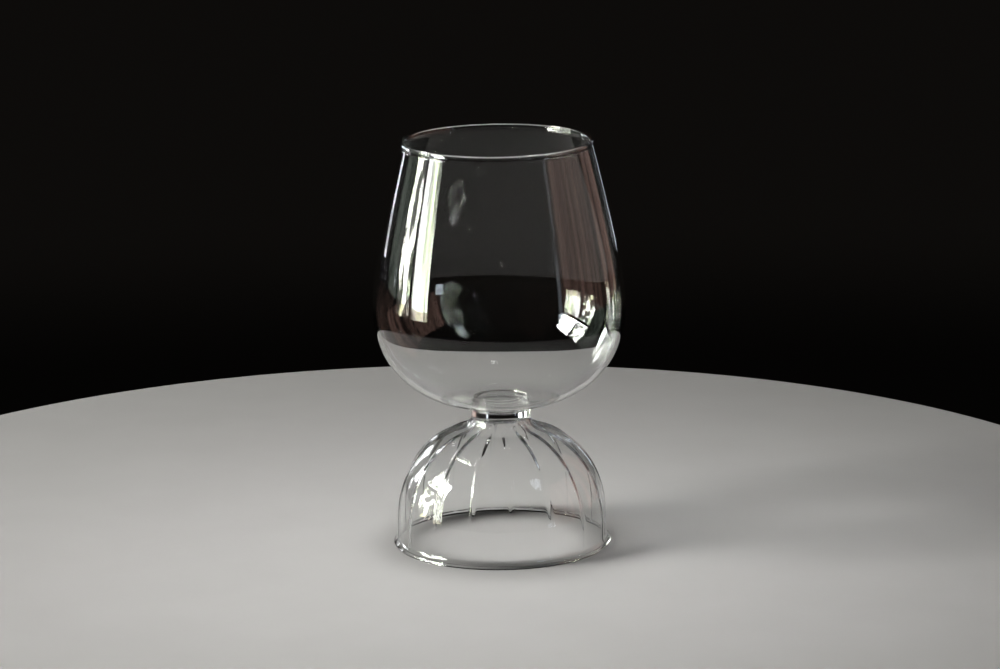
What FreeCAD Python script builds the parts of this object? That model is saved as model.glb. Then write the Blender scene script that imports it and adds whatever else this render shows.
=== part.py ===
import FreeCAD, Part
import math
import os

# A clear drinking glass: a round bowl welded on a short hollow neck, with a solid collar
# disc below it and an open ribbed dome for a foot.
# Lengths are in millimetres and angles in degrees. The origin is the centre of the foot's
# rim on the table, and +Z points up the glass.

# Whole glass
glass_height = 150.0

# Ribbed dome foot
foot_height = 47.7
foot_rim_radius = 40.0
foot_crest_radius = 38.6
foot_wall = 1.2
foot_lip_height = 3.0
foot_lip_thickness = 1.3
foot_rest_width = 0.8
dome_start_height = 7.8
dome_crown_radius = 5.0
seat_rise = 3.1
crown_bore_radius = 8.6
dome_fullness = 2.2

# Ribs on the outside of the foot
rib_count = 16
rib_height = 0.3
rib_width = 1.9
rib_turn = 5.5

# Solid collar disc between the foot and the neck
collar_height = 2.8
collar_radius = 10.8
collar_edge_radius = 0.25

# Hollow neck tube
neck_height = 2.3
neck_radius = 9.65
neck_wall = 1.0

# Bowl
bowl_floor = 1.4
bowl_wall = 1.2
bowl_floor_radius = 10.15
bowl_widest_radius = 46.15
bowl_widest_height = 36.2
bowl_fullness = 2.12
mouth_radius = 34.95
lip_thickness = 1.7

# How far a cutting shape runs past the faces that it cuts
overrun = 1.0

# Steps along a curved outline, as shares of its quarter turn
outline_shares = [0.0, 0.12, 0.25, 0.38, 0.5, 0.62, 0.75, 0.88, 1.0]

# Stations up the outside of the foot's lip: height as a share of the lip's height, flare as
# a share of the rim's overhang, and rib height as a share of the full rib
lip_station_shares = [(0.0, 0.82, 0.0), (0.24, 1.0, 0.0), (0.5, 0.6, 0.1), (0.8, 0.14, 0.65)]

# Stations up the dome, as shares of its quarter turn, each with its rib height share; the
# ribs fade out below the neck of the foot
dome_station_shares = [
    (0.0, 1.0), (0.14, 1.0), (0.28, 1.0), (0.41, 1.0),
    (0.53, 1.0), (0.64, 1.0), (0.74, 0.82), (0.83, 0.24),
]

# Stations up the neck of the foot, from the dome to the collar's seat: how far the radius
# stands out past the collar, and the height, both as shares of the seat's rise
seat_station_shares = [(0.62, 0.16), (0.2, 0.42), (0.03, 0.7), (0.0, 1.0)]

# How far the panels between full ribs bow out from flat towards round
panel_round_share = 0.5

# How far up the bowl's side its upright tangent at the widest place would run
side_upright_share = 0.23

# Places that follow from the sizes above
collar_bottom = foot_height
neck_bottom = collar_bottom + collar_height
bowl_bottom = neck_bottom + neck_height
dome_crown_height = foot_height - seat_rise
panel_sag = foot_crest_radius * (1 - math.cos(math.pi / rib_count)) * (1 - panel_round_share)
foot_inner_radius = foot_crest_radius - rib_height - panel_sag - foot_wall


def oval_point(centre_radius, centre_height, reach_out, reach_up, fullness, turn_share):
    """Point at a share of the quarter turn from the widest place to the crown of an oval."""
    turn = turn_share * math.pi / 2
    out = reach_out * max(math.cos(turn), 0.0) ** (2 / fullness)
    up = reach_up * math.sin(turn) ** (2 / fullness)
    return centre_radius + out, centre_height + up


def on_axis_plane(radius, height):
    """Point of an outline that is later turned about the glass's axis."""
    return FreeCAD.Vector(radius, 0, height)


def straight(start, end):
    return Part.LineSegment(on_axis_plane(*start), on_axis_plane(*end)).toShape()


def smooth(points, first_tangent, last_tangent):
    """Curve through outline points, leaving and arriving along the given directions."""
    curve = Part.BSplineCurve()
    curve.interpolate(
        Points=[on_axis_plane(*point) for point in points],
        InitialTangent=on_axis_plane(*first_tangent),
        FinalTangent=on_axis_plane(*last_tangent),
    )
    return curve.toShape()


def round_through(start, middle, end):
    arc = Part.Arc(on_axis_plane(*start), on_axis_plane(*middle), on_axis_plane(*end))
    return arc.toShape()


def turned(edges):
    """Solid made by turning a closed outline about the axis of the glass."""
    face = Part.Face(Part.Wire(Part.__sortEdges__(edges)))
    return face.revolve(FreeCAD.Vector(0, 0, 0), FreeCAD.Vector(0, 0, 1), 360)


def turned_point(radius, height, angle):
    turn = math.radians(angle)
    return FreeCAD.Vector(radius * math.sin(turn), -radius * math.cos(turn), height)


def foot_stations():
    """Crest point, outward normal and rib height share at each level of the foot's outside."""
    stations = []
    overhang = foot_rim_radius - foot_crest_radius
    for height_share, flare_share, rib_share in lip_station_shares:
        radius = foot_crest_radius + overhang * flare_share
        stations.append((radius, foot_lip_height * height_share, 1.0, 0.0, rib_share))
    reach_out = foot_crest_radius - dome_crown_radius
    reach_up = dome_crown_height - dome_start_height
    for turn_share, rib_share in dome_station_shares:
        radius, height = oval_point(dome_crown_radius, dome_start_height, reach_out, reach_up,
                                    dome_fullness, turn_share)
        slope_out = ((radius - dome_crown_radius) / reach_out) ** (dome_fullness - 1) / reach_out
        slope_up = ((height - dome_start_height) / reach_up) ** (dome_fullness - 1) / reach_up
        steepness = math.hypot(slope_out, slope_up)
        stations.append((radius, height, slope_out / steepness, slope_up / steepness, rib_share))
    return stations


def quadratic(start, middle, end):
    """Parabolic edge from start to end that passes through middle at its half way."""
    curve = Part.BezierCurve()
    curve.setPoles([start, middle * 2 - (start + end) * 0.5, end])
    return curve.toShape()


def ribbed_section(radius, height, normal_out, normal_up, rib_share):
    """Closed line round the foot: a rounded crest at each rib and a flatter panel between.

    Where the ribs fade out, the line becomes a plain round."""
    pitch = 360 / rib_count
    round_share = 1 - rib_share * (1 - panel_round_share)
    half_rib = math.degrees(rib_width / 2 / radius)
    valley_radius = radius - rib_height * rib_share * normal_out
    valley_height = height - rib_height * rib_share * normal_up
    edges = []
    for rib in range(rib_count):
        crest_angle = rib_turn + rib * pitch
        rib_start = turned_point(valley_radius, valley_height, crest_angle - half_rib)
        crest = turned_point(radius, height, crest_angle)
        rib_end = turned_point(valley_radius, valley_height, crest_angle + half_rib)
        next_start = turned_point(valley_radius, valley_height, crest_angle + pitch - half_rib)
        flat_middle = (rib_end + next_start) * 0.5
        round_middle = turned_point(valley_radius, valley_height, crest_angle + pitch / 2)
        panel_middle = flat_middle + (round_middle - flat_middle) * round_share
        edges.append(quadratic(rib_start, crest, rib_end))
        edges.append(quadratic(rib_end, panel_middle, next_start))
    return Part.Wire(edges)


def foot_outside():
    """Solid inside the ribbed outer surface, from the flat rest up to the collar's seat."""
    sections = []
    for station in foot_stations():
        sections.append(ribbed_section(*station))
    for out_share, up_share in seat_station_shares:
        radius = collar_radius + seat_rise * out_share
        height = dome_crown_height + seat_rise * up_share
        sections.append(ribbed_section(radius, height, 1.0, 0.0, 0.0))
    return Part.makeLoft(sections, True, False)


def foot_hollow():
    """Turned solid that empties the foot, from its open rim up through its crown."""
    reach_out = foot_inner_radius - dome_crown_radius
    reach_up = dome_crown_height - foot_wall - dome_start_height
    bore_cosine = ((crown_bore_radius - dome_crown_radius) / reach_out) ** (dome_fullness / 2)
    bore_share = math.acos(bore_cosine) / (math.pi / 2)
    dome = []
    for share in outline_shares:
        dome.append(oval_point(dome_crown_radius, dome_start_height, reach_out, reach_up,
                               dome_fullness, share * bore_share))
    rest_radius = foot_rim_radius - foot_lip_thickness / 2
    lip_inside = rest_radius - foot_rest_width / 2
    below = -overrun
    above = foot_height + overrun
    flare_start = (lip_inside, 0)
    flare_end = (foot_inner_radius, foot_lip_height)
    return turned([
        straight((0, below), (lip_inside, below)),
        straight((lip_inside, below), flare_start),
        smooth([flare_start, flare_end], (0, foot_lip_height), (0, foot_lip_height)),
        straight(flare_end, dome[0]),
        smooth(dome, (0, foot_lip_height), (-foot_lip_height, 0)),
        straight(dome[-1], (crown_bore_radius, above)),
        straight((crown_bore_radius, above), (0, above)),
        straight((0, above), (0, below)),
    ])


def ribbed_foot():
    return foot_outside().cut(foot_hollow())


def collar_disc():
    """Solid disc with a rounded upper edge that closes the neck, seated flat on the foot."""
    corner = collar_edge_radius * (1 - math.sqrt(0.5))
    top = collar_bottom + collar_height
    return turned([
        straight((0, collar_bottom), (collar_radius, collar_bottom)),
        straight((collar_radius, collar_bottom), (collar_radius, top - collar_edge_radius)),
        round_through((collar_radius, top - collar_edge_radius),
                      (collar_radius - corner, top - corner),
                      (collar_radius - collar_edge_radius, top)),
        straight((collar_radius - collar_edge_radius, top), (0, top)),
        straight((0, top), (0, collar_bottom)),
    ])


def neck_tube():
    """Short tube between the collar and the underside of the bowl."""
    seat = FreeCAD.Vector(0, 0, neck_bottom)
    outside = Part.makeCylinder(neck_radius, neck_height, seat)
    hollow_seat = FreeCAD.Vector(0, 0, neck_bottom - overrun)
    hollow = Part.makeCylinder(neck_radius - neck_wall, neck_height + 2 * overrun, hollow_seat)
    return outside.cut(hollow)


def parabola(start, corner, end):
    """Parabolic edge that leaves start towards corner and reaches end coming from corner."""
    curve = Part.BezierCurve()
    curve.setPoles([on_axis_plane(*start), on_axis_plane(*corner), on_axis_plane(*end)])
    return curve.toShape()


def bowl():
    """Blown bowl: flat seat below, full rounded hip, long straightening side and beaded lip."""
    widest = bowl_bottom + bowl_widest_height
    lip_radius = lip_thickness / 2
    lip_out = mouth_radius - lip_radius
    lip_up = glass_height - lip_radius

    # The middle of the wall leaves the widest place upright and arrives at the lip leaning in
    corner_out = bowl_widest_radius - bowl_wall / 2
    corner_up = widest + side_upright_share * (lip_up - widest)
    lean = math.atan2(corner_out - lip_out, lip_up - corner_up)

    def side_corner(across):
        return (corner_out + across, corner_up + across * math.tan(lean / 2))

    def lip_point(along, across):
        return (lip_out - along * math.sin(lean) + across * math.cos(lean),
                lip_up + along * math.cos(lean) + across * math.sin(lean))

    def hip_points(floor_height, wall):
        points = []
        for share in reversed(outline_shares):
            points.append(oval_point(bowl_floor_radius, widest,
                                     bowl_widest_radius - wall - bowl_floor_radius,
                                     floor_height - widest, bowl_fullness, share))
        return points

    floor_height = bowl_bottom + bowl_floor
    half_wall = bowl_wall / 2
    lip_sink = -math.sqrt(lip_radius ** 2 - half_wall ** 2)
    outer_hip = hip_points(bowl_bottom, 0)
    inner_hip = hip_points(floor_height, bowl_wall)
    outer_lip = lip_point(lip_sink, half_wall)
    inner_lip = lip_point(lip_sink, -half_wall)
    return turned([
        straight((0, bowl_bottom), outer_hip[0]),
        smooth(outer_hip, (bowl_wall, 0), (0, bowl_wall)),
        parabola(outer_hip[-1], side_corner(half_wall), outer_lip),
        round_through(outer_lip, lip_point(lip_radius, 0), inner_lip),
        parabola(inner_hip[-1], side_corner(-half_wall), inner_lip),
        smooth(inner_hip, (bowl_wall, 0), (0, bowl_wall)),
        straight(inner_hip[0], (0, floor_height)),
        straight((0, floor_height), (0, bowl_bottom)),
    ])


def save(name, shape):
    shape.exportStep(f"parts/{name}.step")
    size = shape.BoundBox
    print(f"{name}: valid {shape.isValid()}, solids {len(shape.Solids)}, "
          f"volume {shape.Volume:.1f}, z {size.ZMin:.3f} to {size.ZMax:.3f}, "
          f"radius {size.XMax:.3f}")


os.makedirs("parts", exist_ok=True)
save("ribbed_foot", ribbed_foot())
save("collar_disc", collar_disc())
save("neck_tube", neck_tube())
save("bowl", bowl())
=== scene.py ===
import bpy
import math
from mathutils import Matrix, Vector


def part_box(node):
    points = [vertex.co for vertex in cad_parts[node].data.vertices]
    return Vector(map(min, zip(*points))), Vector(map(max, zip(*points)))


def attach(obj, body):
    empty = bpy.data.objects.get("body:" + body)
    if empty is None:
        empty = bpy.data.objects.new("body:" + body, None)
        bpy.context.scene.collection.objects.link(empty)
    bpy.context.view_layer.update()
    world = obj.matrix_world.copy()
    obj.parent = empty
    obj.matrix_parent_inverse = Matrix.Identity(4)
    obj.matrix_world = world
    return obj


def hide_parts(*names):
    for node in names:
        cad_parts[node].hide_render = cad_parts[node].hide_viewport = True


# A clear drinking glass: a round bowl on a short hollow neck, a solid collar disc below it
# and an open ribbed dome for a foot. Lengths are in metres, angles in degrees.

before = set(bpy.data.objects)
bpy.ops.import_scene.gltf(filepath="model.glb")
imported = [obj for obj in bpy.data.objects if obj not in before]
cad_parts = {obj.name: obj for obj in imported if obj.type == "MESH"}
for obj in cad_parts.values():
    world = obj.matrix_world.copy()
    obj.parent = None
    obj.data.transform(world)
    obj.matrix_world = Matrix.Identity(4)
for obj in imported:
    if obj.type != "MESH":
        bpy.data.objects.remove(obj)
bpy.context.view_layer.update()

MM = 0.001

# Places that the frame gives
foot_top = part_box("ribbed_foot")[1].z
foot_rim_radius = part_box("ribbed_foot")[1].x
collar_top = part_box("collar_disc")[1].z
collar_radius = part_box("collar_disc")[1].x
neck_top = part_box("neck_tube")[1].z
neck_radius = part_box("neck_tube")[1].x
bowl_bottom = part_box("bowl")[0].z
bowl_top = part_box("bowl")[1].z
bowl_widest_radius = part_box("bowl")[1].x

# Foot
foot_crest_radius = 38.6 * MM
foot_wall = 1.0 * MM
foot_lip_height = 3.0 * MM
foot_lip_thickness = 1.3 * MM
foot_lip_inner_bow = 0.1 * MM
foot_lip_inner_rise = 0.8 * MM
foot_rest_width = 0.6 * MM
rest_bevel_width = 0.1 * MM
rest_bevel_height = 0.12 * MM
dome_start_height = 7.8 * MM
dome_crown_radius = 5.0 * MM
dome_fullness = 2.2
dome_turn_share = 0.83
seat_rise = 3.1 * MM
seat_reach = 2.4 * MM
seat_drop = 1.6 * MM
ceiling_drop = 0.5 * MM
ceiling_reach = 0.6 * MM
crown_bore_radius = 8.6 * MM

# Rolled rim of the foot: shares of its overhang and of its height
foot_lip_shares = [(0.86, 0.1), (1, 0.24), (0.6, 0.5), (0.14, 0.8), (0.02, 1.2)]

# Where the ribs and the inside start, as shares of the rolled rim's height
rib_start_share = 0.35
rib_rise_share = 0.75
inside_start_share = 0.45

# Ribs
rib_count = 16
rib_height = 0.4 * MM
rib_half_width = 1.3 * MM
rib_widest_share = 0.45
rib_turn = 5.5
rib_low_height = 10 * MM
rib_full_height = 36 * MM
rib_low_share = 0.3
rib_fade_height = 47.2 * MM
rib_fade_length = 3.8 * MM
panel_round_share = 0.5

# Collar disc and neck
collar_edge_radius = 0.25 * MM
neck_wall = 1.0 * MM
weld_fillet = 0.4 * MM
base_fillet = 0.25 * MM
hollow_round_width = 1.4 * MM
hollow_round_height = 0.5 * MM

# Bowl
bowl_floor = 1.4 * MM
bowl_wall = 1.2 * MM
bowl_floor_radius = 10.15 * MM
bowl_widest_height = 36.2 * MM
bowl_fullness = 2.12
bowl_hip_easing = 1.25
mouth_radius = 34.95 * MM
lip_thickness = 1.7 * MM
side_upright_share = 0.23

# Steps of the meshes
turned_columns = 320
hip_steps = 96
side_steps = 72
lip_steps = 20
fillet_steps = 8
rib_columns = 14
panel_columns = 18
dome_steps = 120
foot_lip_steps = 5
foot_lip_inner_steps = 8
seat_steps = 20
ceiling_steps = 14
sharp_angle = 40

# Finishes of a surface, by their place in the list of materials
GLASS = 0
WELD = 1

# Watts for each square metre of lamp panel that give a radiance of 1
LAMP_WATTS = 4.0

# Lengths that count as nothing
SAME_PLACE = 1e-8
ON_AXIS = 1e-9


def oval_point(centre_radius, centre_height, reach_out, reach_up, fullness, turn_share):
    """Point at a share of the quarter turn from the widest place to the crown of an oval."""
    turn = turn_share * math.pi / 2
    out = reach_out * max(math.cos(turn), 0.0) ** (2 / fullness)
    up = reach_up * math.sin(turn) ** (2 / fullness)
    return centre_radius + out, centre_height + up


def shares(steps):
    return [step / steps for step in range(steps + 1)]


def arc(centre, radius, first, last, steps, radius_up=None):
    """Points of a round or oval stretch of outline, from one angle to another, in degrees."""
    points = []
    for share in shares(steps):
        angle = math.radians(first + (last - first) * share)
        points.append((centre[0] + radius * math.cos(angle),
                       centre[1] + (radius_up or radius) * math.sin(angle)))
    return points


def bezier(poles, steps):
    """Points of a Bezier stretch of outline with three or four poles."""
    points = []
    for share in shares(steps):
        level = [Vector(pole) for pole in poles]
        while len(level) > 1:
            level = [a.lerp(b, share) for a, b in zip(level, level[1:])]
        points.append((level[0].x, level[0].y))
    return points


def smooth_through(points, steps):
    """Smooth stretch of outline through a few points, with the given steps between two."""
    ends = [points[0]] + list(points) + [points[-1]]
    line = [points[0]]
    for before, start, end, after in zip(ends, ends[1:], ends[2:], ends[3:]):
        start, end = Vector(start), Vector(end)
        leave = (end - Vector(before)) / 2
        arrive = (Vector(after) - start) / 2
        for share in shares(steps)[1:]:
            square, cube = share ** 2, share ** 3
            point = (start * (2 * cube - 3 * square + 1) + leave * (cube - 2 * square + share)
                     + end * (3 * square - 2 * cube) + arrive * (cube - square))
            line.append((point.x, point.y))
    return line


class Outline:
    """Closed outline of a turned piece, each stretch with the finish of its surface."""

    def __init__(self):
        self.points = []
        self.finishes = []

    def add(self, points, finish=GLASS):
        for point in points:
            if self.points and math.dist(point, self.points[-1]) < SAME_PLACE:
                continue
            if self.points:
                self.finishes.append(finish)
            self.points.append(point)


def as_piece(name, vertices, faces, finishes, materials, node):
    """Mesh object that stands for a node of the frame."""
    mesh = bpy.data.meshes.new(name)
    mesh.from_pydata(vertices, [], faces)
    mesh.polygons.foreach_set("material_index", finishes)
    mesh.shade_smooth()
    mesh.set_sharp_from_angle(angle=math.radians(sharp_angle))
    for material in materials:
        mesh.materials.append(material)
    mesh.validate()
    piece = bpy.data.objects.new(name, mesh)
    bpy.context.scene.collection.objects.link(piece)
    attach(piece, "root")
    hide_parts(node)
    return piece


def turned_place(radius, height, turn):
    return (radius * math.sin(turn), -radius * math.cos(turn), height)


def turned_rings(points, columns, centre=(0, 0)):
    """Vertices of an outline turned round an upright axis, and the rings that they form."""
    vertices, rings = [], []
    for radius, height in points:
        if radius < ON_AXIS:
            rings.append([len(vertices)] * columns)
            vertices.append((*centre, height))
            continue
        rings.append(range(len(vertices), len(vertices) + columns))
        for column in range(columns):
            x, y, z = turned_place(radius, height, 2 * math.pi * column / columns)
            vertices.append((x + centre[0], y + centre[1], z))
    return vertices, rings


def turned_piece(name, node, outline, materials):
    """Piece made by turning a closed outline, which may start and end on the axis."""
    vertices, rings = turned_rings(outline.points, turned_columns)
    ring_finishes = list(outline.finishes)
    if outline.points[0][0] > ON_AXIS:
        rings.append(rings[0])
        ring_finishes.append(outline.finishes[-1])
    faces, finishes = banded_faces(rings, ring_finishes)
    return as_piece(name, vertices, faces, finishes, materials, node)


def faces_between(row, next_row):
    """Faces between two rings of vertices, with triangles where a ring is one point."""
    faces = []
    for column in range(len(row)):
        after = (column + 1) % len(row)
        corners = [row[column], row[after], next_row[after], next_row[column]]
        faces.append(list(dict.fromkeys(corners)))
    return faces


def banded_faces(rings, ring_finishes):
    """Faces between rings of vertices that follow each other, and the finish of each face."""
    faces, finishes = [], []
    for row, next_row, finish in zip(rings, rings[1:], ring_finishes):
        band = faces_between(row, next_row)
        faces += band
        finishes += [finish] * len(band)
    return faces, finishes


def bowl_outline():
    """Flat seat, full rounded hip, long straightening side and beaded lip."""
    widest = bowl_bottom + bowl_widest_height
    lip_radius = lip_thickness / 2
    lip_out = mouth_radius - lip_radius
    lip_up = bowl_top - lip_radius
    corner_out = bowl_widest_radius - bowl_wall / 2
    corner_up = widest + side_upright_share * (lip_up - widest)
    lean = math.atan2(corner_out - lip_out, lip_up - corner_up)
    half_wall = bowl_wall / 2
    lip_sink = -math.sqrt(lip_radius ** 2 - half_wall ** 2)

    def side_corner(across):
        return (corner_out + across, corner_up + across * math.tan(lean / 2))

    def lip_point(along, across):
        return (lip_out - along * math.sin(lean) + across * math.cos(lean),
                lip_up + along * math.cos(lean) + across * math.sin(lean))

    def hip(floor_height, wall):
        points = []
        for share in shares(hip_steps):
            eased = 1 - (1 - share) ** bowl_hip_easing
            points.append(oval_point(bowl_floor_radius, widest,
                                     bowl_widest_radius - wall - bowl_floor_radius,
                                     floor_height - widest, bowl_fullness, eased))
        return points

    outer_hip = list(reversed(hip(bowl_bottom, 0)))
    inner_hip = hip(bowl_bottom + bowl_floor, bowl_wall)
    outer_lip = lip_point(lip_sink, half_wall)
    inner_lip = lip_point(lip_sink, -half_wall)
    spread = 90 + math.degrees(math.acos(half_wall / lip_radius))
    turn = math.degrees(lean) + 90
    weld_out = neck_radius + weld_fillet
    weld_in = neck_radius - neck_wall - hollow_round_width
    outline = Outline()
    outline.add([(0, bowl_bottom), (weld_in, bowl_bottom)])
    outline.add([(weld_out, bowl_bottom)], WELD)
    outline.add([point for point in outer_hip if point[0] > weld_out])
    outline.add(bezier([outer_hip[-1], side_corner(half_wall), outer_lip], side_steps))
    outline.add(arc((lip_out, lip_up), lip_radius, turn - spread, turn + spread, lip_steps))
    outline.add(bezier([inner_lip, side_corner(-half_wall), inner_hip[0]], side_steps))
    outline.add(inner_hip)
    outline.add([(0, bowl_bottom + bowl_floor)])
    return outline


def neck_outline():
    """Short tube with a rounded hollow, which flares into the welds above and below it."""
    inside = neck_radius - neck_wall - hollow_round_width
    outline = Outline()
    outline.add([(inside, collar_top), (neck_radius + base_fillet, collar_top)], WELD)
    outline.add(arc((neck_radius + base_fillet, collar_top + base_fillet), base_fillet,
                    270, 180, fillet_steps))
    outline.add(arc((neck_radius + weld_fillet, neck_top - weld_fillet), weld_fillet,
                    180, 90, fillet_steps))
    outline.add([(inside, neck_top)], WELD)
    outline.add(arc((inside, neck_top - hollow_round_height), hollow_round_width, 90, 0,
                    2 * fillet_steps, hollow_round_height))
    outline.add(arc((inside, collar_top + hollow_round_height), hollow_round_width, 0, -90,
                    2 * fillet_steps, hollow_round_height))
    return outline


def collar_outline():
    """Solid disc with rounded edges, welded to the neck above and to the foot below."""
    weld_in = neck_radius - neck_wall - hollow_round_width
    weld_out = neck_radius + base_fillet
    outline = Outline()
    outline.add([(0, foot_top), (crown_bore_radius, foot_top)])
    outline.add([(collar_radius, foot_top)], WELD)
    outline.add(arc((collar_radius - collar_edge_radius, collar_top - collar_edge_radius),
                    collar_edge_radius, 0, 90, fillet_steps))
    outline.add([(weld_out, collar_top)])
    outline.add([(weld_in, collar_top)], WELD)
    outline.add([(0, collar_top)])
    return outline


def foot_crest_line():
    """Crest of a rib up the foot: radius, height, outward normal and rib height share."""
    overhang = foot_rim_radius - foot_crest_radius
    rest_out = foot_rim_radius - foot_lip_thickness / 2 + foot_rest_width / 2
    crown_height = foot_top - seat_rise
    reach_out = foot_crest_radius - dome_crown_radius
    reach_up = crown_height - dome_start_height
    dome = []
    for share in shares(dome_steps):
        dome.append(oval_point(dome_crown_radius, dome_start_height, reach_out, reach_up,
                               dome_fullness, share * dome_turn_share))
    lip = [(rest_out, rest_bevel_height)]
    for out_share, up_share in foot_lip_shares:
        lip.append((foot_crest_radius + overhang * out_share, foot_lip_height * up_share))
    lip = smooth_through(lip + [dome[0]], foot_lip_steps)
    last = Vector(dome[-1])
    along = (last - Vector(dome[-2])).normalized()
    seat = bezier([last, last + along * seat_reach, (collar_radius, foot_top - seat_drop),
                   (collar_radius, foot_top)], seat_steps)
    line = lip + dome[1:] + seat[1:]
    crest = []
    for index, (radius, height) in enumerate(line):
        low = Vector(line[max(index - 1, 0)])
        high = Vector(line[min(index + 1, len(line) - 1)])
        tangent = (high - low).normalized()
        rise = min(max((height / foot_lip_height - rib_start_share) / rib_rise_share, 0), 1)
        fall = min(max((rib_fade_height - height) / rib_fade_length, 0), 1)
        upper = min(max((height - rib_low_height) / (rib_full_height - rib_low_height), 0), 1)
        strength = rib_low_share + (1 - rib_low_share) * upper
        share = rise * strength * fall * fall * (3 - 2 * fall)
        crest.append((radius, height, tangent.y, -tangent.x, share))
    return crest


def ribbed_row(radius, height, normal_out, normal_up, rib_share, depth=0):
    """Places round the foot at one level: a rounded rib, then a flatter panel, 16 times."""
    pitch = 2 * math.pi / rib_count
    half_rib = min(rib_half_width / radius, pitch * rib_widest_share)
    valley = rib_height * rib_share
    base_radius = radius - (valley + depth) * normal_out
    base_height = height - (valley + depth) * normal_up
    sag = radius * (1 - math.cos(pitch / 2)) * (1 - panel_round_share) * rib_share
    places = []
    for rib in range(rib_count):
        crest_turn = math.radians(rib_turn) + rib * pitch
        offsets = [half_rib * (2 * step / rib_columns - 1) for step in range(rib_columns)]
        panel = pitch - 2 * half_rib
        offsets += [half_rib + panel * step / panel_columns for step in range(panel_columns)]
        for offset in offsets:
            across = min(abs(offset) / half_rib, 1)
            lift = valley * (1 - across ** 2) ** 2 * (0 if depth else 1)
            from_middle = abs(offset) if offset < pitch / 2 else pitch - offset
            from_middle = 1 - from_middle / (pitch / 2)
            hollow = sag * (1 - from_middle ** 2)
            out = base_radius - hollow + lift * normal_out
            places.append(turned_place(out, base_height + lift * normal_up, crest_turn + offset))
    return places


def foot_inside(crest, turns):
    """Rows of the inside of the foot: lip, panels a wall's width in, and the crown's ceiling."""
    shoulder = foot_top - foot_wall
    panels = []
    for station in crest:
        height, normal_up = station[1], station[3]
        inner_height = height - foot_wall * normal_up
        if height > foot_lip_height * inside_start_share and inner_height < shoulder:
            panels.append(station)
    ends = []
    for radius, height, normal_out, normal_up, _ in (panels[0], panels[-1]):
        ends.append((radius - foot_wall * normal_out, height - foot_wall * normal_up))
    rest_in = foot_rim_radius - foot_lip_thickness / 2 - foot_rest_width / 2
    lip = bezier([(rest_in, rest_bevel_height),
                  (rest_in - foot_lip_inner_bow, foot_lip_inner_rise), ends[0]],
                 foot_lip_inner_steps)
    ceiling = bezier([ends[1], (collar_radius - foot_wall, foot_top - ceiling_drop),
                      (crown_bore_radius + ceiling_reach, foot_top),
                      (crown_bore_radius, foot_top)], ceiling_steps)

    def ring(place):
        return [turned_place(*place, turn) for turn in turns]

    return ([ring(place) for place in lip[:-1]]
            + [ribbed_row(*station, depth=foot_wall) for station in panels]
            + [ring(place) for place in ceiling[1:]])


def foot_piece(materials):
    """Open ribbed dome: ribs outside, panels of even thickness, flat rest ring, welded crown."""
    crest = foot_crest_line()
    outside = [ribbed_row(*station) for station in crest]
    columns = len(outside[0])
    turns = [math.atan2(x, -y) for x, y, z in outside[0]]
    inside = foot_inside(crest, turns)
    rows = outside + list(reversed(inside))
    finishes_by_row = [GLASS] * (len(outside) - 1) + [WELD] + [GLASS] * (len(inside) - 1)
    rest_middle = foot_rim_radius - foot_lip_thickness / 2
    for radius in (rest_middle - foot_rest_width / 2 + rest_bevel_width,
                   rest_middle + foot_rest_width / 2 - rest_bevel_width):
        rows.append([turned_place(radius, 0, turn) for turn in turns])
        finishes_by_row.append(GLASS)
    finishes_by_row.append(GLASS)
    vertices, numbered = [], []
    for row in rows:
        numbered.append(range(len(vertices), len(vertices) + columns))
        vertices += row
    faces, finishes = banded_faces(numbered + [numbered[0]], finishes_by_row)
    return as_piece("foot_ribbed_dome", vertices, faces, finishes, materials, "ribbed_foot")


def node_tree(material):
    material.use_nodes = True
    material.node_tree.nodes.clear()
    return material.node_tree.nodes, material.node_tree.links


def add_waves(nodes, links, place, glass):
    """Faint waves of blown glass, drawn out along its height."""
    stretch = nodes.new("ShaderNodeMapping")
    stretch.inputs["Scale"].default_value = (60, 60, 14)
    links.new(place.outputs["Object"], stretch.inputs["Vector"])
    waves = nodes.new("ShaderNodeTexNoise")
    waves.inputs["Scale"].default_value = 1.0
    waves.inputs["Detail"].default_value = 1.0
    links.new(stretch.outputs["Vector"], waves.inputs["Vector"])
    bump = nodes.new("ShaderNodeBump")
    bump.inputs["Strength"].default_value = 0.25
    bump.inputs["Distance"].default_value = 0.1 * MM
    links.new(waves.outputs["Fac"], bump.inputs["Height"])
    links.new(bump.outputs["Normal"], glass.inputs["Normal"])


def add_handling_marks(nodes, links, place, glass):
    """Trace of handling marks, as a very slight roughness in patches."""
    marks = nodes.new("ShaderNodeTexNoise")
    marks.inputs["Scale"].default_value = 90.0
    marks.inputs["Detail"].default_value = 4.0
    links.new(place.outputs["Object"], marks.inputs["Vector"])
    haze = nodes.new("ShaderNodeMapRange")
    haze.inputs["From Min"].default_value = 0.55
    haze.inputs["From Max"].default_value = 0.8
    haze.inputs["To Min"].default_value = 0.0
    haze.inputs["To Max"].default_value = 0.02
    links.new(marks.outputs["Fac"], haze.inputs["Value"])
    links.new(haze.outputs["Result"], glass.inputs["Roughness"])


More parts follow.
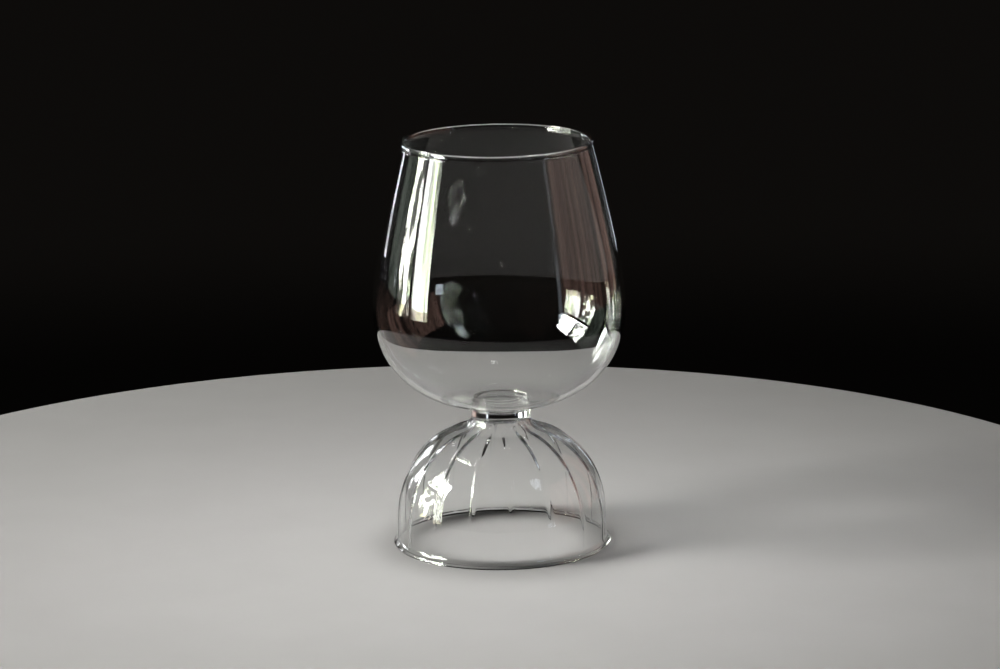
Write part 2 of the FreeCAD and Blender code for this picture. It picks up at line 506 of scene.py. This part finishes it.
def add_passed_light(nodes, links, glass):
    """Mix that lets light pass to the floor, less of it where the glass is seen edge on."""
    path = nodes.new("ShaderNodeLightPath")
    either = nodes.new("ShaderNodeMath")
    either.operation = "MAXIMUM"
    links.new(path.outputs["Is Shadow Ray"], either.inputs[0])
    links.new(path.outputs["Is Diffuse Ray"], either.inputs[1])
    edge = nodes.new("ShaderNodeLayerWeight")
    edge.inputs["Blend"].default_value = 0.5
    passed = nodes.new("ShaderNodeMapRange")
    passed.inputs["From Min"].default_value = 0.22
    passed.inputs["From Max"].default_value = 0.9
    passed.inputs["To Min"].default_value = 0.98
    passed.inputs["To Max"].default_value = 0.0
    links.new(edge.outputs["Facing"], passed.inputs["Value"])
    clear = nodes.new("ShaderNodeBsdfTransparent")
    links.new(passed.outputs["Result"], clear.inputs["Color"])
    mix = nodes.new("ShaderNodeMixShader")
    links.new(either.outputs["Value"], mix.inputs["Fac"])
    links.new(glass.outputs["BSDF"], mix.inputs[1])
    links.new(clear.outputs["BSDF"], mix.inputs[2])
    return mix


def glass_material():
    """Clear blown glass with faint waves and a trace of handling marks."""
    material = bpy.data.materials.new("clear_blown_glass")
    nodes, links = node_tree(material)
    glass = nodes.new("ShaderNodeBsdfPrincipled")
    glass.inputs["Base Color"].default_value = (0.985, 0.99, 0.985, 1)
    glass.inputs["Transmission Weight"].default_value = 1.0
    glass.inputs["IOR"].default_value = 1.47
    glass.inputs["Specular Tint"].default_value = (0.62, 0.62, 0.62, 1)
    place = nodes.new("ShaderNodeTexCoord")
    add_waves(nodes, links, place, glass)
    add_handling_marks(nodes, links, place, glass)
    mix = add_passed_light(nodes, links, glass)
    out = nodes.new("ShaderNodeOutputMaterial")
    links.new(mix.outputs["Shader"], out.inputs["Surface"])
    return material


def weld_material():
    """Inside of a weld, where glass runs into glass and nothing shows."""
    material = bpy.data.materials.new("weld_inside_glass")
    nodes, links = node_tree(material)
    clear = nodes.new("ShaderNodeBsdfTransparent")
    out = nodes.new("ShaderNodeOutputMaterial")
    links.new(clear.outputs["BSDF"], out.inputs["Surface"])
    return material


def floor_material():
    """Matt pale grey with a very faint unevenness."""
    material = bpy.data.materials.new("pale_floor")
    nodes, links = node_tree(material)
    surface = nodes.new("ShaderNodeBsdfPrincipled")
    place = nodes.new("ShaderNodeTexCoord")
    noise = nodes.new("ShaderNodeTexNoise")
    noise.inputs["Scale"].default_value = 30.0
    links.new(place.outputs["Object"], noise.inputs["Vector"])
    ramp = nodes.new("ShaderNodeValToRGB")
    ramp.color_ramp.elements[0].color = (0.49, 0.485, 0.475, 1)
    ramp.color_ramp.elements[1].color = (0.53, 0.525, 0.515, 1)
    links.new(noise.outputs["Fac"], ramp.inputs["Fac"])
    links.new(ramp.outputs["Color"], surface.inputs["Base Color"])
    surface.inputs["Roughness"].default_value = 0.5
    surface.inputs["Specular IOR Level"].default_value = 0.0
    out = nodes.new("ShaderNodeOutputMaterial")
    links.new(surface.outputs["BSDF"], out.inputs["Surface"])
    return material


def make_floor():
    """Round pale floor with a softened edge, wide enough to reach past the glass's shadow."""
    radius = 272 * MM
    centre = (-20 * MM, 8 * MM)
    thickness = 18 * MM
    edge = 2 * MM
    edge_steps = 6
    columns = 256
    outline = [(0, 0)]
    outline += arc((radius - edge, -edge), edge, 90, 0, edge_steps)
    outline += arc((radius - edge, -thickness + edge), edge, 0, -90, edge_steps)
    outline += [(0, -thickness)]
    vertices, rings = turned_rings(outline, columns, centre)
    faces = []
    for row, next_row in zip(rings, rings[1:]):
        faces += faces_between(next_row, row)
    mesh = bpy.data.meshes.new("floor")
    mesh.from_pydata(vertices, [], faces)
    mesh.shade_smooth()
    mesh.set_sharp_from_angle(angle=math.radians(sharp_angle))
    mesh.materials.append(floor_material())
    floor = bpy.data.objects.new("floor", mesh)
    bpy.context.scene.collection.objects.link(floor)


def make_panel(name, centre, width, height, facing, radiance, colour=(1, 1, 1)):
    """Soft lamp panel of the given radiance, facing a point."""
    lamp = bpy.data.lights.new(name, "AREA")
    lamp.shape = "RECTANGLE"
    lamp.size = width
    lamp.size_y = height
    lamp.color = colour
    lamp.energy = radiance * width * height * LAMP_WATTS
    panel = bpy.data.objects.new(name, lamp)
    direction = Vector(facing) - Vector(centre)
    panel.matrix_world = (Matrix.Translation(centre)
                          @ direction.to_track_quat("-Z", "Y").to_matrix().to_4x4())
    panel.visible_camera = False
    bpy.context.scene.collection.objects.link(panel)
    return panel


def seen_in_glass_only(panel):
    """The panel shows in reflections and through glass, and gives the floor no light."""
    panel.visible_diffuse = False


def lights_floor_only(panel):
    """The panel lights the floor, and no reflection shows it."""
    panel.visible_glossy = False
    panel.visible_transmission = False


def patchy(panel, scale, dark_share, soft_share, dark_level, seed, tint=(1, 1, 1)):
    """Uneven glow across a panel, as of a view through a window: some patches stay dark."""
    lamp = panel.data
    lamp.use_nodes = True
    nodes, links = lamp.node_tree.nodes, lamp.node_tree.links
    nodes.clear()
    place = nodes.new("ShaderNodeNewGeometry")
    stretch = nodes.new("ShaderNodeMapping")
    stretch.inputs["Location"].default_value = (seed, seed, seed)
    stretch.inputs["Scale"].default_value = scale
    links.new(place.outputs["Position"], stretch.inputs["Vector"])
    noise = nodes.new("ShaderNodeTexNoise")
    noise.inputs["Scale"].default_value = 1.0
    noise.inputs["Detail"].default_value = 4.0
    links.new(stretch.outputs["Vector"], noise.inputs["Vector"])
    level = nodes.new("ShaderNodeMapRange")
    level.interpolation_type = "SMOOTHSTEP"
    level.inputs["From Min"].default_value = dark_share
    level.inputs["From Max"].default_value = dark_share + soft_share
    level.inputs["To Min"].default_value = dark_level
    level.inputs["To Max"].default_value = 1.0
    links.new(noise.outputs["Fac"], level.inputs["Value"])
    glow = nodes.new("ShaderNodeEmission")
    links.new(level.outputs["Result"], glow.inputs["Strength"])
    streaks = nodes.new("ShaderNodeTexNoise")
    streaks.inputs["Scale"].default_value = 0.6
    streaks.inputs["Detail"].default_value = 2.0
    links.new(stretch.outputs["Vector"], streaks.inputs["Vector"])
    shade = nodes.new("ShaderNodeValToRGB")
    shade.color_ramp.elements[0].position = 0.42
    shade.color_ramp.elements[0].color = (1, 1, 1, 1)
    shade.color_ramp.elements[1].position = 0.58
    shade.color_ramp.elements[1].color = (*tint, 1)
    links.new(streaks.outputs["Fac"], shade.inputs["Fac"])
    links.new(shade.outputs["Color"], glow.inputs["Color"])
    out = nodes.new("ShaderNodeOutputLight")
    links.new(glow.outputs["Emission"], out.inputs["Surface"])


def make_window():
    """Tall window at the left in panes, seen in the glass, and its plain light on the floor."""
    window_x = -1.5
    leaves = (0.72, 0.8, 0.6)
    dark_level = 0.03
    # Near edge, far edge, tint, seed of the view and its streaks up the pane
    columns = [
        (-0.606, -0.10, (1, 1, 0.98), 1.7, 2),
        (0.0, 0.42, (1, 1, 0.95), 4.7, 7),
    ]
    # Low edge, high edge and tint
    rows = [
        (-0.12, 0.0, (1, 0.9, 0.8)),
        (0.0, 0.49, (1, 1, 1)),
        (0.57, 1.12, (0.97, 0.99, 1)),
    ]
    # For each column, from the lowest pane up
    radiance = [(13, 32, 60), (14, 40, 60)]
    dark_share = [(0.30, 0.33, 0.26), (0.54, 0.53, 0.50)]
    soft_share = [(0.3, 0.25, 0.1), (0.03, 0.03, 0.03)]
    for column, (near, far, tint, seed, streaks) in enumerate(columns):
        for row, (low, high, warmth) in enumerate(rows):
            centre = (window_x, (near + far) / 2, (low + high) / 2)
            colour = [a * b for a, b in zip(tint, warmth)]
            pane = make_panel(f"window_{column}_{row}", centre, far - near, high - low,
                              (0, centre[1], centre[2]), radiance[column][row], colour)
            patchy(pane, (1, 11, streaks), dark_share[column][row], soft_share[column][row],
                   dark_level, seed, leaves)
            seen_in_glass_only(pane)
    light = make_panel("window_light", (window_x, -0.36, 1.05), 0.6, 0.6, (0, 0, 0), 21.5,
                       (1, 0.99, 0.96))
    lights_floor_only(light)


def make_light_above():
    """Fill for the floor round the glass, and a small lamp."""
    fill = make_panel("fill_above", (-0.05, 0.0, 1.3), 0.3, 0.3, (0, -0.04, 0), 0.56)
    fill.data.spread = math.radians(22)
    lights_floor_only(fill)
    make_panel("lamp_above", (0.1, 0.3, 1.9), 0.1, 0.1, (0, 0, 0), 14.0)


def make_room_panel(name, turn, span, low, high, radiance, colour):
    """Panel round the glass, at a turn from the camera's side and between two elevations."""
    reach = 1.5
    level = bowl_top * 0.6
    turn = math.radians(turn)
    bottom = reach * math.tan(math.radians(low)) + level
    top = reach * math.tan(math.radians(high)) + level
    middle = (bottom + top) / 2
    width = 2 * reach * math.tan(math.radians(span / 2))
    panel = make_panel(name, (reach * math.sin(turn), -reach * math.cos(turn), middle),
                       width, top - bottom, (0, 0, middle), radiance, colour)
    seen_in_glass_only(panel)
    return panel


def make_room():
    """Glints, a garden, a curtain and dim warm walls round the glass, for it to show."""
    cool = (0.82, 0.9, 1.0)
    white = (0.95, 0.98, 1.0)
    green = (0.8, 0.95, 0.8)
    warm = (1.0, 0.6, 0.5)
    # Name, turn, span, low and high elevation, radiance and colour
    views = [
        ("glint_back", -135, 5, 3, 14, 16, white),
        ("glint_far_back", -150, 7, 3, 14, 7, white),
        ("glint_low", -139.5, 2, -4, 1, 14, white),
        ("curtain_high", 48, 9, 33, 48, 4.5, cool),
        ("curtain_low", 59, 8, -12, -3, 8, cool),
        ("garden", -116, 17, -4, 32, 0.36, green),
        ("curtain", 57, 3, -3, 33, 1.2, cool),
        ("edge_right", 161.6, 3, -8, 14, 1.2, cool),
    ]
    walls = [
        ("wall_edge", 60, 3, -7, 30, 0.4, warm),
        ("wall_right", 79, 34, -7, 30, 1.2, warm),
        ("wall_far_right", 117, 38, -7, 30, 0.6, warm),
    ]
    for view in views:
        patchy(make_room_panel(*view), (14, 14, 6), 0.4, 0.12, 0.1, 2.3)
    for wall in walls:
        patchy(make_room_panel(*wall), (7, 7, 0.5), 0.33, 0.42, 0.1, 0.4)


def make_world():
    """Dark room: almost black behind the glass, a little lighter on the camera's side."""
    world = bpy.data.worlds.new("dark_room")
    bpy.context.scene.world = world
    world.use_nodes = True
    nodes, links = world.node_tree.nodes, world.node_tree.links
    nodes.clear()
    place = nodes.new("ShaderNodeTexCoord")
    apart = nodes.new("ShaderNodeSeparateXYZ")
    links.new(place.outputs["Generated"], apart.inputs["Vector"])
    side = nodes.new("ShaderNodeMapRange")
    side.interpolation_type = "SMOOTHSTEP"
    side.inputs["From Min"].default_value = 0.5
    side.inputs["From Max"].default_value = -0.6
    side.inputs["To Min"].default_value = 0.004
    side.inputs["To Max"].default_value = 0.024
    links.new(apart.outputs["Y"], side.inputs["Value"])
    depth = nodes.new("ShaderNodeMapRange")
    depth.interpolation_type = "SMOOTHSTEP"
    depth.inputs["From Min"].default_value = -0.235
    depth.inputs["From Max"].default_value = -0.195
    depth.inputs["To Min"].default_value = 0.3
    depth.inputs["To Max"].default_value = 1.0
    links.new(apart.outputs["Z"], depth.inputs["Value"])
    level = nodes.new("ShaderNodeMath")
    level.operation = "MULTIPLY"
    links.new(side.outputs["Result"], level.inputs[0])
    links.new(depth.outputs["Result"], level.inputs[1])
    glow = nodes.new("ShaderNodeBackground")
    glow.inputs["Color"].default_value = (1.0, 0.88, 0.78, 1)
    links.new(level.outputs["Value"], glow.inputs["Strength"])
    out = nodes.new("ShaderNodeOutputWorld")
    links.new(glow.outputs["Background"], out.inputs["Surface"])


def make_camera():
    """Long lens, a little above the glass, tilted as the photograph is."""
    place = Vector((0.2 * MM, -1352 * MM, 391 * MM))
    pitch = 13.04
    roll = -0.85
    camera = bpy.data.cameras.new("camera")
    camera.lens = 136.8
    camera.sensor_width = 36
    camera.clip_start = 0.05
    camera.clip_end = 20
    seen = bpy.data.objects.new("camera", camera)
    turn = Matrix.Rotation(math.radians(90 - pitch), 4, "X")
    seen.matrix_world = Matrix.Translation(place) @ turn @ Matrix.Rotation(math.radians(roll), 4, "Z")
    bpy.context.scene.collection.objects.link(seen)
    bpy.context.scene.camera = seen


def set_render():
    scene = bpy.context.scene
    scene.view_settings.view_transform = "Standard"
    scene.cycles.max_bounces = 28
    scene.cycles.transmission_bounces = 28
    scene.cycles.glossy_bounces = 16
    scene.cycles.transparent_max_bounces = 40
    scene.cycles.caustics_reflective = False
    scene.cycles.caustics_refractive = False
    scene.cycles.sample_clamp_indirect = 0.0


materials = [glass_material(), weld_material()]
turned_piece("bowl_blown_shell", "bowl", bowl_outline(), materials)
turned_piece("neck_short_tube", "neck_tube", neck_outline(), materials)
turned_piece("collar_solid_disc", "collar_disc", collar_outline(), materials)
foot_piece(materials)
make_floor()
make_window()
make_light_above()
make_room()
make_world()
make_camera()
set_render()
